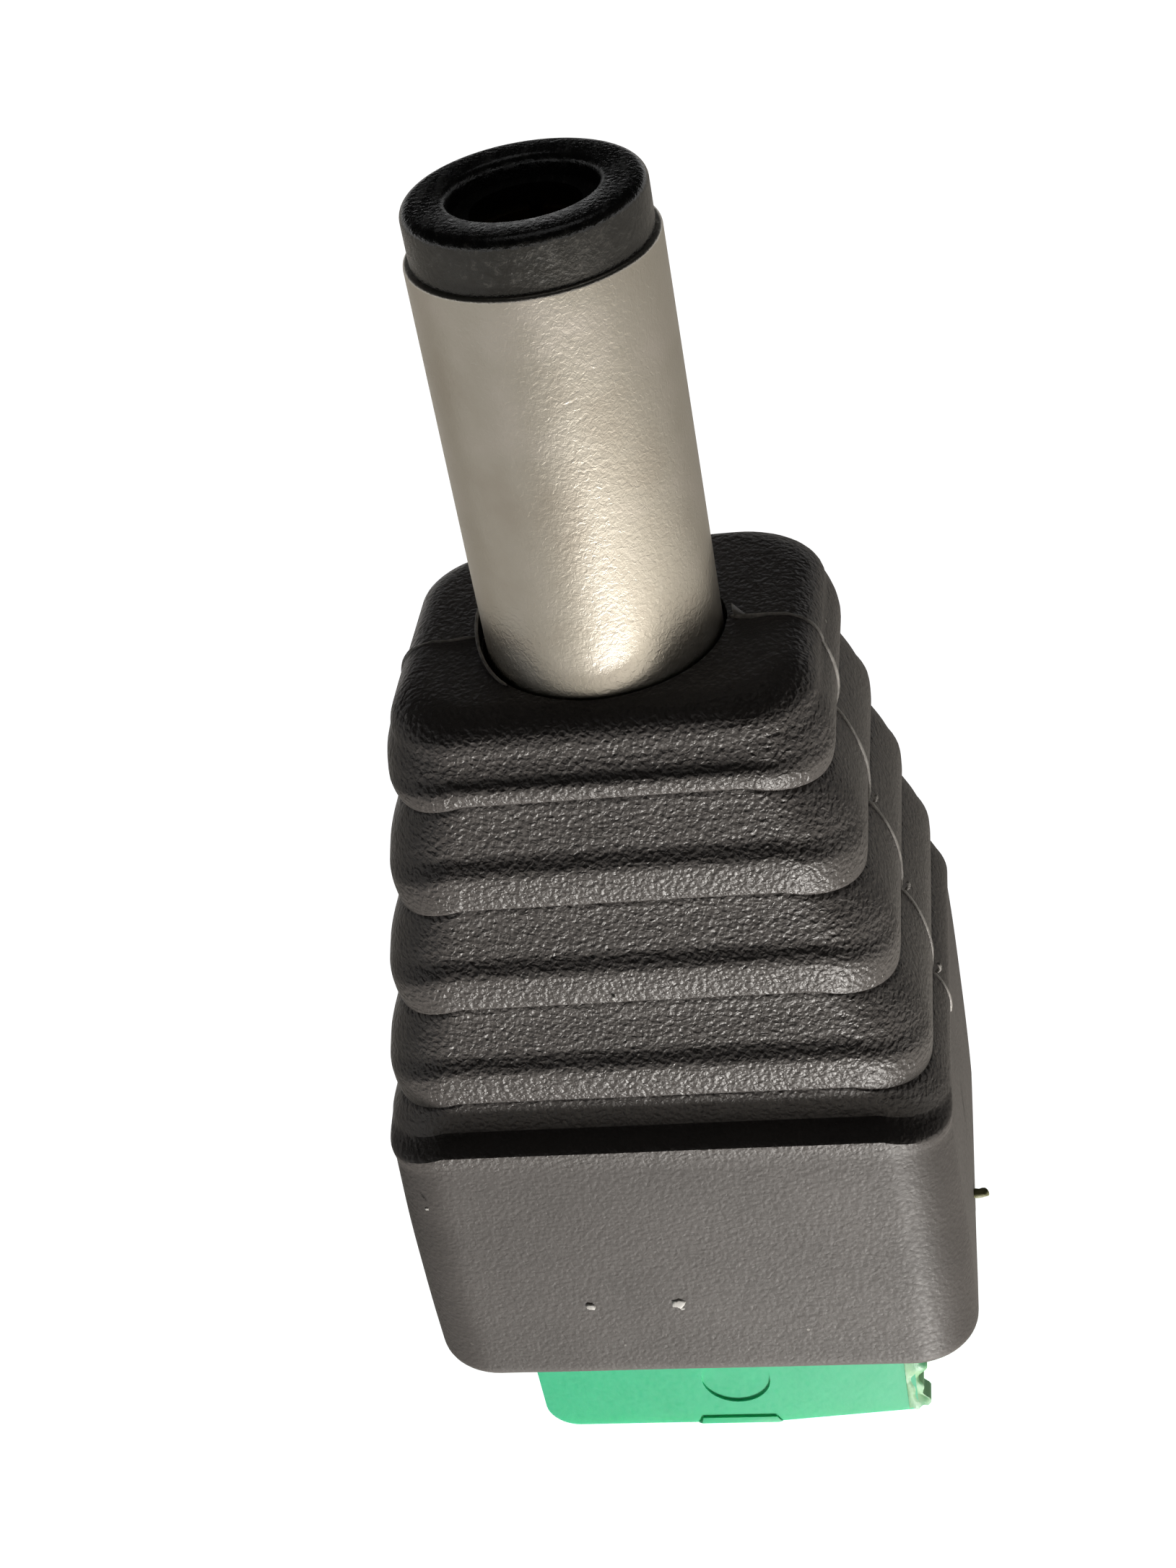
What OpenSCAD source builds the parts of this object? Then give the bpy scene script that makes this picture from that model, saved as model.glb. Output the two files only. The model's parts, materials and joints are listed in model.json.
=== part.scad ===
// Male DC barrel plug with a two-way screw terminal, for 5.5 x 2.1 mm sockets.
// The part stands on the wire end of its terminal block, with the barrel pointing up.
// +X runs across the two clamps, -Y is the plain face and +Y the face with the screws.
// The origin is under the barrel, on the wire end of the terminal block. Millimetres.

/* [Barrel] */
// Outer diameter of the metal sleeve
barrel_d = 5.5; // [5:0.1:6]
// Length of bare sleeve outside the housing
barrel_len = 9.7; // [8:0.1:12]
// Wall of the sleeve
sleeve_wall = 0.45; // [0.35:0.05:0.55]
// Length of the black ring beyond the sleeve
tip_len = 1.2; // [0.8:0.1:1.6]
// How far the ring stands in from the sleeve's outside
tip_step = 0.14; // [0.08:0.02:0.3]
// Rounding of the ring's front edge
tip_round = 0.25; // [0.1:0.05:0.35]
// Diameter of the recess in the ring
mouth_d = 3.2; // [2.8:0.1:3.4]
// Depth of the recess in the ring
mouth_depth = 0.45; // [0.3:0.05:0.7]
// Hole that guides the socket's pin
guide_d = 2.4; // [2.25:0.05:2.5]
// Bore of the centre contact
socket_d = 2.1; // [2:0.1:2.2]
// Wall of the centre contact
socket_wall = 0.35; // [0.25:0.05:0.4]
// Length of the slits that make the contact springy
slit_len = 5; // [3:0.5:6]
// Width of those slits
slit_w = 0.3; // [0.2:0.05:0.4]
// Diameter of the flange that the housing grips
flange_d = 6; // [5.9:0.1:6.1]
// Thickness of that flange
flange_t = 1.2; // [1:0.1:1.4]

/* [Barrel tail] */
// Thickness of the stamped sleeve lug
sleeve_lug_t = 0.5; // [0.4:0.05:0.6]
// Width of the sleeve lug's leg
sleeve_lug_w = 2; // [1.6:0.1:2.4]
// Thickness of the washer between the lugs
washer_t = 0.7; // [0.6:0.1:1]
// Diameter of that washer
washer_d = 4.8; // [4.2:0.1:4.9]
// Thickness of the stamped centre lug
centre_lug_t = 0.4; // [0.3:0.05:0.5]
// Width of the centre lug's leg
centre_lug_w = 1.6; // [1.2:0.1:2]
// Diameter of the riveted stem
stem_d = 1.6; // [1.4:0.1:1.8]
// Diameter of the tinned wires to the terminal
link_d = 0.8; // [0.6:0.1:1]
// Diameter of a solder bead
bead_d = 1.9; // [1.7:0.1:2.1]
// Height of a solder bead
bead_h = 1.6; // [1.2:0.1:1.8]

/* [Housing] */
// Length of the black housing
body_len = 20.2; // [19.6:0.1:22]
// Number of ribs below the head
rib_count = 3; // [2:1:4]
// Drop from the head's face to the first crease
head_len = 2.1; // [1.9:0.1:2.4]
// Drop from one crease to the next
rib_pitch = 2.78; // [2.4:0.02:2.9]
// Width at the first crease
neck_w = 10.1; // [9.6:0.1:10.6]
// Barrel axis to the plain face at the first crease
neck_front = 3.75; // [3.7:0.05:4]
// Barrel axis to the screw face at the first crease
neck_rear = 4.7; // [4.2:0.1:5]
// Width at the last crease
waist_w = 13.3; // [12.8:0.1:13.6]
// Barrel axis to the plain face at the last crease
waist_front = 4.7; // [4.5:0.05:5]
// Barrel axis to the screw face at the last crease
waist_rear = 6.7; // [6.4:0.1:6.8]
// How far a rib swells out on the narrow sides
rib_swell = 0.28; // [0.15:0.01:0.4]
// How far a rib swells out on the wide faces
face_swell = 0.07; // [0.02:0.01:0.12]
// How far the creases dip on the narrow sides
side_dip = 0.55; // [0:0.05:0.7]
// Corner radius of the head and the ribs
rib_corner = 1.8; // [1.4:0.1:2.2]
// Width of the block section
case_w = 14.4; // [14:0.1:15]
// Barrel axis to the plain face of the block section
case_front = 5.35; // [5.2:0.05:5.6]
// Barrel axis to the screw face of the block section
case_rear = 7.1; // [7:0.1:7.6]
// How far both faces lean in towards the wire end
case_lean = 0.15; // [0:0.05:0.25]
// Height of the block section's shoulder
shoulder_len = 1.5; // [1.2:0.1:1.8]
// Corner radius of the block section
case_corner = 1.6; // [1.3:0.1:1.8]
// Rounding of the head's edge
head_round = 0.85; // [0.6:0.05:1]
// Rounding of the wire end's edge
end_round = 0.6; // [0.4:0.05:0.8]
// Thickness of the head round the barrel
head_wall = 1.2; // [1:0.1:1.4]
// Offset between the two mouldings where they meet
seam_step = 0.1; // [0:0.02:0.14]
// Diameter of the screwdriver holes
driver_hole_d = 3.9; // [3.8:0.05:4.2]
// Reach of the burr left on the right end of the seam
burr_len = 0.4; // [0.1:0.1:0.6]

/* [Terminal block] */
// Distance between the two clamps
clamp_pitch = 5.08; // [5:0.02:5.2]
// Width of the block
block_w = 10.2; // [10.1:0.1:10.6]
// Barrel axis to the block's plain face
block_front = 4.3; // [4.2:0.05:4.4]
// Depth of the block from its plain face to its screw face
block_depth = 10; // [9.8:0.1:10.2]
// Length of the block along the wires
block_len = 10.3; // [10:0.1:10.6]
// How much of it stands out of the housing
block_out = 2.9; // [2.6:0.1:3.4]
// How far the block sits off the barrel's axis
block_shift = 0.3; // [0:0.05:0.5]
// Rounding of the lower left edge
block_round = 0.8; // [0.3:0.1:1]
// How far the retaining lip stands out of each side
lip_out = 0.35; // [0.2:0.05:0.5]
// Height of that lip
lip_h = 1.8; // [1.2:0.1:2]
// Width of a wire entry
entry_w = 3.3; // [3:0.1:3.5]
// Widening of a wire entry at its mouth
entry_flare = 0.3; // [0.1:0.05:0.4]
// Diameter of the round moulding mark
mark_d = 2; // [1.6:0.1:2.3]
// Depth of that mark
mark_depth = 0.1; // [0.05:0.01:0.2]

/* [Clamps] */
// Height of the screws' axes above the wire end
screw_z = 6.6; // [6.4:0.1:7]
// Outer diameter of the screw thread
screw_d = 2.5; // [2.3:0.1:2.6]
// Pitch of the screw thread
screw_pitch = 0.45; // [0.4:0.05:0.5]
// Diameter of the screw head
head_d = 3.6; // [3.4:0.05:3.7]
// Thickness of the screw head
head_t = 1.4; // [1.2:0.1:1.6]
// Width of the screwdriver slot
slot_w = 0.6; // [0.5:0.05:0.8]
// Depth of the screwdriver slot
slot_depth = 0.7; // [0.5:0.05:0.9]
// Depth of the screw head below the block's face
head_sink = 0.6; // [0.5:0.05:0.8]
// Diameter of the lip that keeps the screw in
keeper_d = 3.4; // [3.2:0.05:3.5]
// Thickness of that lip
keeper_t = 0.3; // [0.2:0.05:0.4]
// Width of a clamp cage
cage_w = 4; // [3.9:0.02:4.04]
// Length of a clamp cage along the wire
cage_len = 4.2; // [4:0.05:4.3]
// Side wall of a clamp cage
cage_wall = 0.55; // [0.45:0.05:0.6]
// Threaded wall of a clamp cage
cage_top = 0.8; // [0.7:0.05:0.85]
// Floor of a clamp cage
cage_floor = 0.5; // [0.4:0.05:0.6]
// Thickness of a contact bar
bar_t = 0.7; // [0.6:0.05:0.8]
// Width of a contact bar inside the cage
bar_w = 1.8; // [1.6:0.1:2]
// Width of the pin at the bar's end
pin_w = 1; // [0.8:0.1:1.2]
// Length of the pin above the block
pin_len = 2.4; // [2.2:0.1:2.8]
// Gap for the wire with the clamp open
wire_gap = 2.25; // [2.1:0.05:2.3]

/* [Fits] */
// Clearance round pieces that stay put
fit_gap = 0.05; // [0.02:0.01:0.08]
// Clearance of the barrel in the head's hole
barrel_gap = 0.1; // [0.06:0.01:0.15]
// Running clearance of screws and cages
run_gap = 0.05; // [0.03:0.01:0.06]
// Clearance in the cage's thread
thread_gap = 0.02; // [0.02:0.01:0.04]

/* [Hidden] */
$fn = 48;
eps = 0.01;
far = 40;

black = "#24221f";
ink = "#141312";
nickel = "#c9c0ae";
zinc = "#b9b7b0";
brass = "#c8a858";
tin = "#c4c4c0";
solder = "#a9aaa8";
green = "#4fcf97";
ivory = "#e2dcc8";

// Heights of the barrel's stack, from the tip down
face_z = block_out + body_len;
sleeve_top = face_z + barrel_len;
tip_z = sleeve_top + tip_len;
flange_top = face_z - head_wall;
flange_base = flange_top - flange_t;
sleeve_lug_base = flange_base - sleeve_lug_t;
washer_base = sleeve_lug_base - washer_t;
centre_lug_base = washer_base - centre_lug_t;
rivet_t = 0.4;
rivet_d = stem_d + 0.7;

sleeve_bore = barrel_d - 2 * sleeve_wall;
socket_od = socket_d + 2 * socket_wall;
guide_len = 0.5;
contact_top = tip_z - mouth_depth - guide_len;
plug_len = 0.9;
contact_base = flange_base + plug_len;

// The clamps, from the screw head down to the front of the block
block_rear = block_depth - block_front;
head_top_y = block_rear - head_sink;
head_base_y = head_top_y - head_t;
ledge_t = 0.5;
pocket_rear_y = head_base_y - ledge_t;
front_wall = 0.5;
pocket_front_y = front_wall - block_front;
cage_front_y = pocket_front_y + run_gap;
cage_floor_y = cage_front_y + cage_floor;
bar_front_y = cage_floor_y + wire_gap;
bar_rear_y = bar_front_y + bar_t;
clamp_travel = wire_gap - run_gap;
cage_rear_y = pocket_rear_y - run_gap - clamp_travel;
cage_inner_w = cage_w - 2 * cage_wall;
cage_low_z = screw_z - cage_len / 2;
cage_high_z = screw_z + cage_len / 2;
pocket_w = cage_w + 2 * run_gap;
pocket_low_z = cage_low_z - run_gap;
pocket_high_z = cage_high_z + run_gap;
bar_low_z = pocket_low_z - 0.85;
bar_step_z = block_len + 0.5;
pin_top_z = block_len + pin_len;
clamp_x = [block_shift - clamp_pitch / 2, block_shift + clamp_pitch / 2];

// The wires that link the barrel's lugs to the terminal's pins
film = 0.03;
link_y = bar_rear_y + film + link_d / 2;
sleeve_leg_x = -flange_d / 2 + sleeve_lug_t;
link_x = [sleeve_leg_x + film + link_d / 2, clamp_x[1] - 0.14];
centre_leg_x = link_x[1] - film - link_d / 2;
link_low_z = block_len + 1.3;
sleeve_leg_low = link_low_z + 3;
centre_leg_low = sleeve_leg_low + 1.4;
link_high_z = [sleeve_leg_low + 1.8, centre_leg_low + 1.5];

// The hollow inside the housing
chamber_top = centre_lug_base - rivet_t - 0.3;
chamber_x = waist_w / 2 - 2.4;
chamber_front = neck_front - 0.6;
chamber_rear = neck_rear - 0.6;
neck_x = flange_d / 2 + 0.2;
neck_y = washer_d / 2 + fit_gap;

function mix(a, b, t) = a + (b - a) * t;
function arch(t) = 4 * t * (1 - t);
function late_arch(t) = 6.75 * t * t * (1 - t);
function ledge(t) = let (u = max(0, min(1, (t - 0.3) / 0.45))) u * u * (3 - 2 * u);

// One level of the housing: height, half width, plain side, screw side, corner, dip
function crease(k) = let (t = k / rib_count) [
    face_z - head_len - k * rib_pitch,
    mix(neck_w, waist_w, t) / 2,
    mix(neck_front, waist_front, t),
    mix(neck_rear, waist_rear, t),
    rib_corner,
    side_dip
];
function swollen(level, d) = [level[0], level[1] + d, level[2] + d, level[3] + d, level[4], level[5]];

// A level between two others: the narrow sides arch out, the wide faces step out on a ledge
function between(a, b, t, side, face, round) = [
    mix(a[0], b[0], t),
    mix(a[1], b[1], t) + side * arch(t),
    mix(a[2], b[2], ledge(t)) + face * late_arch(t),
    mix(a[3], b[3], ledge(t)) + face * late_arch(t),
    round,
    mix(a[5], b[5], t)
];
brow = [
    face_z - head_round,
    crease(0)[1] - 0.08,
    crease(0)[2] - 0.2,
    crease(0)[3] - 0.1,
    rib_corner,
    0
];
shoulder = [
    crease(rib_count)[0] - shoulder_len,
    case_w / 2 - 0.2,
    case_front,
    case_rear,
    case_corner,
    side_dip
];
heel = [
    block_out + end_round,
    case_w / 2,
    case_front - case_lean,
    case_rear - case_lean,
    case_corner,
    0
];

// The head's rounded edge, the swelling bands, the shoulder, the long case and its end
edge_steps = 5;
head_steps = 5;
band_steps = 9;
shoulder_steps = 7;
case_steps = 5;
levels = concat(
    [for (i = [0 : edge_steps - 1]) let (a = 90 * i / edge_steps)
        swollen([brow[0] + head_round * cos(a), brow[1], brow[2], brow[3], brow[4], 0],
            -head_round * (1 - sin(a)))],
    [for (i = [0 : head_steps - 1]) let (t = i / head_steps)
        between(brow, crease(0), t, 0.7 * rib_swell, face_swell, rib_corner)],
    [for (k = [0 : rib_count - 1], i = [0 : band_steps - 1]) let (t = i / band_steps)
        between(crease(k), crease(k + 1), t, rib_swell, face_swell, rib_corner)],
    [for (i = [0 : shoulder_steps - 1]) let (t = i / shoulder_steps)
        between(crease(rib_count), shoulder, t, 0.2, 0.02, mix(rib_corner, case_corner, t))],
    [for (i = [0 : case_steps - 1]) let (t = i / case_steps) [
        mix(shoulder[0], heel[0], t),
        mix(shoulder[1], heel[1], t * (2 - t)),
        mix(shoulder[2], heel[2], t),
        mix(shoulder[3], heel[3], t),
        case_corner,
        side_dip * (1 - t)]],
    [for (i = [0 : edge_steps]) let (a = 90 * i / edge_steps)
        swollen([heel[0] - end_round * sin(a), heel[1], heel[2], heel[3], heel[4], 0],
            -end_round * (1 - cos(a)))]
);

// A rounded rectangle of points round the barrel's axis, whose narrow sides dip
corner_steps = 7;
function ring(level) = [
    for (q = [0 : 3], i = [0 : corner_steps])
        let (a = 90 * (q + i / corner_steps),
            r = level[4],
            cx = (q == 0 || q == 3) ? level[1] - r : r - level[1],
            cy = (q < 2) ? level[3] - r : r - level[2])
        [cx + r * cos(a), cy + r * sin(a), level[0] - level[5] * abs(cos(a))]
];

// A closed skin over a stack of rings, listed from the top down
module skin(stack) {
    n = 4 * (corner_steps + 1);
    last = len(stack) - 1;
    polyhedron(
        points = [for (level = stack) each ring(level)],
        faces = concat(
            [[for (j = [n - 1 : -1 : 0]) j]],
            [for (i = [0 : last - 1], j = [0 : n - 1]) let (k = (j + 1) % n)
                [i * n + j, i * n + k, (i + 1) * n + k]],
            [for (i = [0 : last - 1], j = [0 : n - 1]) let (k = (j + 1) % n)
                [i * n + j, (i + 1) * n + k, (i + 1) * n + j]],
            [[for (j = [0 : n - 1]) last * n + j]]
        )
    );
}

// A box from its lowest and highest corners
module box(low, high) {
    translate(low) cube(high - low);
}

// A cylinder along +Y, from y0 to y1
module along_y(d, y0, y1) {
    translate([0, y0, 0]) rotate([-90, 0, 0]) cylinder(d = d, h = y1 - y0);
}

// What both half housings leave free for the barrel, its tail and the terminal block
module hollow() {
    seat_d = flange_d + 2 * fit_gap;
    translate([0, 0, flange_top - eps]) cylinder(d = barrel_d + 2 * barrel_gap, h = far);
    translate([0, 0, sleeve_lug_base]) cylinder(d = seat_d, h = flange_top - sleeve_lug_base);
    box([-neck_x, -neck_y, chamber_top - eps], [neck_x, neck_y, sleeve_lug_base + eps]);
    box([-chamber_x, -chamber_front, block_len], [chamber_x, chamber_rear, chamber_top]);
    translate([block_shift, 0, 0]) {
        x = block_w / 2 + fit_gap;
        box([-x, -block_front - fit_gap, -far], [x, block_rear + fit_gap, block_len + fit_gap]);
        box([-x - lip_out, -block_front - fit_gap, block_len - lip_h - fit_gap],
            [x + lip_out, block_rear + fit_gap, block_len + fit_gap]);
    }
}

module front_shell() color(black) difference() {
    burr_d = 0.22;
    union() {
        intersection() {
            skin(levels);
            box([-far, -far, -far], [far, 0, far]);
        }
        translate([heel[1] - 0.4, -burr_d / 2 - 0.02, heel[0] + 0.65]) {
            rotate([0, 90, 0]) cylinder(d = burr_d, h = 0.4 + burr_len, $fn = 12);
        }
    }
    hollow();
}

module rear_shell() color(black) difference() {
    intersection() {
        translate([0, 0, -seam_step]) skin(levels);
        box([-far, 0, block_out], [far, far, far]);
    }
    hollow();
    for (x = clamp_x) {
        translate([x, 0, screw_z]) along_y(driver_hole_d, block_rear - eps, far);
    }
}

// The turned outer contact: a tube with the flange that the housing grips
module barrel_sleeve() color(nickel) translate([0, 0, flange_base]) difference() {
    union() {
        cylinder(d = flange_d, h = flange_t);
        cylinder(d = barrel_d, h = sleeve_top - flange_base);
    }
    translate([0, 0, -eps]) cylinder(d = sleeve_bore, h = far);
}

// The moulded lining, whose collar covers the sleeve's end
module tip_insulator() color(ink) {
    collar_r = barrel_d / 2 - tip_step;
    lining_r = sleeve_bore / 2 - fit_gap;
    hole_r = socket_od / 2 + fit_gap;
    arc_steps = 6;
    rotate_extrude() polygon(concat(
        [
            [lining_r, contact_base],
            [lining_r, sleeve_top],
            [collar_r, sleeve_top]
        ],
        [for (i = [0 : arc_steps]) let (a = 90 * i / arc_steps)
            [collar_r - tip_round * (1 - cos(a)), tip_z - tip_round * (1 - sin(a))]],
        [
            [mouth_d / 2 + 0.15, tip_z],
            [mouth_d / 2, tip_z - 0.15],
            [mouth_d / 2, tip_z - mouth_depth],
            [guide_d / 2, tip_z - mouth_depth],
            [guide_d / 2, contact_top],
            [hole_r, contact_top],
            [hole_r, contact_base]
        ]
    ));
}

// The slit spring socket that takes the pin, with the stem that is riveted over its lug
module centre_contact() color(brass) {
    rivet_r = rivet_d / 2;
    difference() {
        rotate_extrude() polygon([
            [0, centre_lug_base - rivet_t],
            [rivet_r - 0.15, centre_lug_base - rivet_t],
            [rivet_r, centre_lug_base - rivet_t + 0.15],
            [rivet_r, centre_lug_base],
            [stem_d / 2, centre_lug_base],
            [stem_d / 2, contact_base],
            [socket_od / 2, contact_base],
            [socket_od / 2, contact_top],
            [socket_d / 2, contact_top],
            [socket_d / 2, contact_base + 0.8],
            [0, contact_base + 0.8]
        ]);
        for (a = [0, 90]) {
            rotate(a) box([-far, -slit_w / 2, contact_top - slit_len], [far, slit_w / 2, far]);
        }
    }
}

// The bush that keeps the stem clear of the sleeve and its lug
module base_insulator() color(ivory) translate([0, 0, sleeve_lug_base]) difference() {
    cylinder(d = sleeve_bore - 2 * fit_gap, h = contact_base - sleeve_lug_base);
    translate([0, 0, -eps]) cylinder(d = stem_d + 2 * fit_gap, h = far);
}

module rear_washer() color(ivory) translate([0, 0, washer_base]) difference() {
    cylinder(d = washer_d, h = washer_t);
    translate([0, 0, -eps]) cylinder(d = stem_d + 2 * fit_gap, h = far);
}

// A stamped ring under the flange, with a leg folded down on the left
module sleeve_lug() color(tin) {
    leg_out = -flange_d / 2;
    half_w = sleeve_lug_w / 2;
    difference() {
        union() {
            translate([0, 0, sleeve_lug_base]) cylinder(d = flange_d, h = sleeve_lug_t);
            box([leg_out, -half_w, sleeve_leg_low], [sleeve_leg_x, half_w, sleeve_lug_base + eps]);
        }
        translate([0, 0, sleeve_lug_base - eps]) cylinder(d = sleeve_bore, h = 2 * sleeve_lug_t);
    }
}

// A stamped disc held by the rivet, with a leg that steps out and down on the right
module centre_lug() color(tin) {
    half_w = centre_lug_w / 2;
    leg_in = centre_leg_x - centre_lug_t;
    difference() {
        union() {
            translate([0, 0, centre_lug_base]) cylinder(d = stem_d + 1.8, h = centre_lug_t);
            box([0, -half_w, centre_lug_base], [centre_leg_x, half_w, washer_base]);
            box([leg_in, -half_w, centre_leg_low], [centre_leg_x, half_w, washer_base]);
        }
        translate([0, 0, centre_lug_base - eps]) cylinder(d = stem_d, h = 2 * centre_lug_t);
    }
}

module link(side) color(tin) {
    translate([link_x[side], link_y, link_low_z]) {
        cylinder(d = link_d, h = link_high_z[side] - link_low_z);
    }
}

module link_left() link(0);
module link_right() link(1);

// A round bead of solder, standing on base_z
module bead(x, y, base_z) {
    translate([x, y, base_z]) rotate_extrude() polygon([
        [0, 0],
        [bead_d / 2 - 0.35, 0],
        [bead_d / 2 - 0.1, 0.25],
        [bead_d / 2, bead_h / 2],
        [bead_d / 2 - 0.1, bead_h - 0.25],
        [bead_d / 2 - 0.35, bead_h],
        [0, bead_h]
    ]);
}

// Joins a link to the terminal's pin
module pin_bead(side) color(solder) difference() {
    bead(link_x[side], link_y - link_d / 2, link_low_z - 0.3);
    link(side);
    contact_bar(side);
}

module pin_bead_left() pin_bead(0);
module pin_bead_right() pin_bead(1);

// Joins the left link to the inner face of the sleeve lug's leg
module lug_bead_left() color(solder) difference() {
    bead(link_x[0], link_y, sleeve_leg_low + 0.2);
    link(0);
    box([-far, -far, 0], [sleeve_leg_x, far, far]);
}

// Joins the right link to the centre lug's leg, and wraps it
module lug_bead_right() color(solder) difference() {
    bead(link_x[1] - link_d / 2, link_y, centre_leg_low + 0.2);
    link(1);
    centre_lug();
}

// Seen from the front: square corners but for the lower left one
module block_outline() {
    half = block_w / 2;
    difference() {
        translate([-half, 0]) square([block_w, block_len]);
        translate([-half - eps, -eps]) square(block_round + eps);
    }
    translate([block_round - half, block_round]) circle(r = block_round);
}

// What one clamp needs free inside the block, round its own screw axis
module clamp_space() {
    half_pocket = pocket_w / 2;
    half_entry = entry_w / 2;
    half_bar = bar_w / 2 + fit_gap;
    entry_top = bar_rear_y - fit_gap;
    mouth = entry_flare;
    box([-half_pocket, pocket_front_y, pocket_low_z], [half_pocket, pocket_rear_y, pocket_high_z]);
    box([-half_entry, cage_floor_y - 0.3, -eps], [half_entry, bar_front_y, pocket_low_z + eps]);
    hull() {
        box([-half_entry - mouth, cage_floor_y - 0.3 - mouth, -eps],
            [half_entry + mouth, bar_front_y + mouth, 0]);
        box([-half_entry, cage_floor_y - 0.3, mouth], [half_entry, bar_front_y, mouth + eps]);
    }
    box([-half_bar, bar_front_y - eps, bar_low_z - fit_gap],
        [half_bar, bar_rear_y + fit_gap, pocket_low_z + eps]);
    box([-half_bar, bar_front_y - fit_gap, pocket_high_z - eps], [half_bar, bar_rear_y + fit_gap, far]);
    translate([0, 0, screw_z]) {
        along_y(screw_d + 2 * run_gap, pocket_rear_y - eps, block_rear);
        along_y(head_d + 2 * run_gap, head_base_y, block_rear - keeper_t);
        along_y(keeper_d, block_rear - keeper_t - eps, far);
    }
}

// The green moulding: lip, round mark and gate swelling outside, two clamp chambers inside
module terminal_block() color(green) translate([block_shift, 0, 0]) {
    lip_x = block_w / 2 + lip_out;
    gate_w = 0.9;
    gate_out = 0.15;
    difference() {
        union() {
            translate([0, block_rear, 0]) rotate([90, 0, 0]) {
                linear_extrude(height = block_depth) block_outline();
            }
            box([-lip_x, -block_front, block_len - lip_h], [lip_x, block_rear, block_len]);
            translate([0, -block_front, 0]) linear_extrude(height = 2 * gate_out) polygon([
                [-gate_w - gate_out, 0],
                [-gate_w, -gate_out],
                [gate_w, -gate_out],
                [gate_w + gate_out, 0]
            ]);
        }
        for (side = [-1, 1]) {
            translate([side * clamp_pitch / 2, 0, 0]) clamp_space();
        }
        translate([0, 0, mark_d / 2 + 0.45]) along_y(mark_d, -far, mark_depth - block_front);
    }
}

// A flat bar that the wire is pressed against, ending in a solder pin
module contact_bar(side) color(tin) translate([clamp_x[side], 0, 0]) {
    box([-bar_w / 2, bar_front_y, bar_low_z], [bar_w / 2, bar_rear_y, bar_step_z]);
    box([-pin_w / 2, bar_front_y, bar_step_z - eps], [pin_w / 2, bar_rear_y, pin_top_z]);
}

module contact_bar_left() contact_bar(0);
module contact_bar_right() contact_bar(1);

// A folded box that climbs its screw and lifts the wire against the bar
module clamp_cage(side) color(zinc) translate([clamp_x[side], 0, 0]) difference() {
    box([-cage_w / 2, cage_front_y, cage_low_z], [cage_w / 2, cage_rear_y, cage_high_z]);
    box([-cage_inner_w / 2, cage_floor_y, cage_low_z - eps],
        [cage_inner_w / 2, cage_rear_y - cage_top, cage_high_z + eps]);
    translate([0, 0, screw_z]) {
        along_y(screw_d + 2 * thread_gap, cage_rear_y - cage_top - eps, cage_rear_y + eps);
    }
}

module clamp_cage_left() clamp_cage(0);
module clamp_cage_right() clamp_cage(1);

// A slotted cheese-head screw that turns in place, its end bearing on the contact bar
module clamp_screw(side) color(zinc) translate([clamp_x[side], 0, screw_z]) difference() {
    union() {
        along_y(screw_d - 0.5, bar_rear_y, bar_rear_y + 0.25);
        along_y(screw_d, bar_rear_y + 0.25, head_base_y + eps);
        along_y(head_d, head_base_y, head_top_y);
    }
    box([-far, head_top_y - slot_depth, -slot_w / 2], [far, far, slot_w / 2]);
}

module clamp_screw_left() clamp_screw(0);
module clamp_screw_right() clamp_screw(1);

front_shell();
rear_shell();
barrel_sleeve();
tip_insulator();
centre_contact();
base_insulator();
rear_washer();
sleeve_lug();
centre_lug();
link_left();
link_right();
lug_bead_left();
lug_bead_right();
pin_bead_left();
pin_bead_right();
terminal_block();
contact_bar_left();
contact_bar_right();
clamp_cage_left();
clamp_cage_right();
clamp_screw_left();
clamp_screw_right();
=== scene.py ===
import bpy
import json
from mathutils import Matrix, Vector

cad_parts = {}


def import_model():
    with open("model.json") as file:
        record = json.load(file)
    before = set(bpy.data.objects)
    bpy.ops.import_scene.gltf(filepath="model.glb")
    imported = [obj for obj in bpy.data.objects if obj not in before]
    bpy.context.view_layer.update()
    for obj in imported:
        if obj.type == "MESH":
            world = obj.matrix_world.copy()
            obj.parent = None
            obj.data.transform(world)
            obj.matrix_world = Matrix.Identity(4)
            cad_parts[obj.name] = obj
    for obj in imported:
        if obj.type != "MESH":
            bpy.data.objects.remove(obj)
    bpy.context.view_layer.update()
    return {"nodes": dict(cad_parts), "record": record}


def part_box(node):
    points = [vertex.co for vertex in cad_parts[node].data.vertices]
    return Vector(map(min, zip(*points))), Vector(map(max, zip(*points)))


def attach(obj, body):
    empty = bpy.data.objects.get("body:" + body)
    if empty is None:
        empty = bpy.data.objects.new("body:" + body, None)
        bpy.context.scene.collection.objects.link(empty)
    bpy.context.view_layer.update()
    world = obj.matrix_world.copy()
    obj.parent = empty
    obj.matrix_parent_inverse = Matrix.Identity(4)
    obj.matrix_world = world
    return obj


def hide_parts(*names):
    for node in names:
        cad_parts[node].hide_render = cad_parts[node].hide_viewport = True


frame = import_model()

import json
import math
import bpy
import bmesh
import numpy as np
from mathutils import Matrix, Vector

# A DC barrel plug on a two-way screw terminal. Lengths are in mm unless a comment says
# otherwise, and add_object turns them into metres. The barrel points up, the plain face of the
# housing looks to -Y and the screws look to +Y.
MM = 0.001


def lerp(a, b, t):
    return a + (b - a) * t


def ease(u):
    u = min(1.0, max(0.0, u))
    return u * u * (3 - 2 * u)


def polar(r, degrees):
    return r * math.cos(math.radians(degrees)), r * math.sin(math.radians(degrees))


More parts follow.
